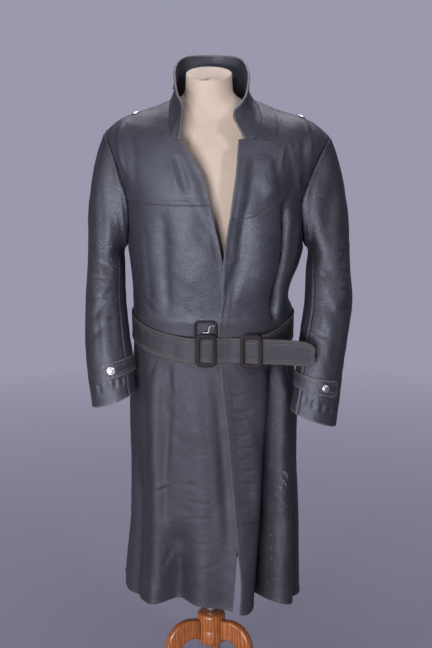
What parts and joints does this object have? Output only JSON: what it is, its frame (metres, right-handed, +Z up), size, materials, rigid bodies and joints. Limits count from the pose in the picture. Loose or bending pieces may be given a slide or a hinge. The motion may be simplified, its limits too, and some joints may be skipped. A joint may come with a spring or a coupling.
{
  "type": "leather coat on a dress form",
  "caption": "Long belted leather coat with a stand-up collar, worn by a limbless dress form on a wooden tripod stand.",
  "frame": {"origin": "on the floor below the middle of the whole part's box", "axes": "+Z up, the coat's front faces -Y, the wearer's left is +X"},
  "size_m": [0.6048, 0.4319, 1.5739],
  "materials": {
    "slate_leather": "satin, worn",
    "belt_leather": "satin, worn",
    "silver_metal": "dull shine",
    "horn": "satin",
    "cream_cover": "matt",
    "varnished_wood": "varnished"
  },
  "bodies": {
    "root": {"yoke_front_left": "slate_leather", "yoke_front_right": "slate_leather", "yoke_back": "slate_leather", "chest_front_left": "slate_leather", "chest_front_right": "slate_leather", "back_body": "slate_leather", "skirt_front_left": "slate_leather", "skirt_front_right": "slate_leather", "skirt_back": "slate_leather", "sleeve_top_left": "slate_leather", "sleeve_under_left": "slate_leather", "sleeve_top_right": "slate_leather", "sleeve_under_right": "slate_leather", "cuff_strap_left": "slate_leather", "cuff_strap_right": "slate_leather", "collar": "slate_leather", "belt_strap": "belt_leather", "belt_tongue": "belt_leather", "belt_buckle_left": "belt_leather", "belt_buckle_right": "belt_leather", "under_buckle": "belt_leather", "under_buckle_prong": "silver_metal", "cuff_button_left": "silver_metal", "cuff_button_right": "silver_metal", "shoulder_button_left": "silver_metal", "shoulder_button_right": "silver_metal", "collar_button": "horn", "form_torso": "cream_cover", "form_pole": "silver_metal", "stand_hub": "varnished_wood", "stand_leg_left": "varnished_wood", "stand_leg_right": "varnished_wood", "stand_leg_back": "varnished_wood"}
  },
  "joints": []
}
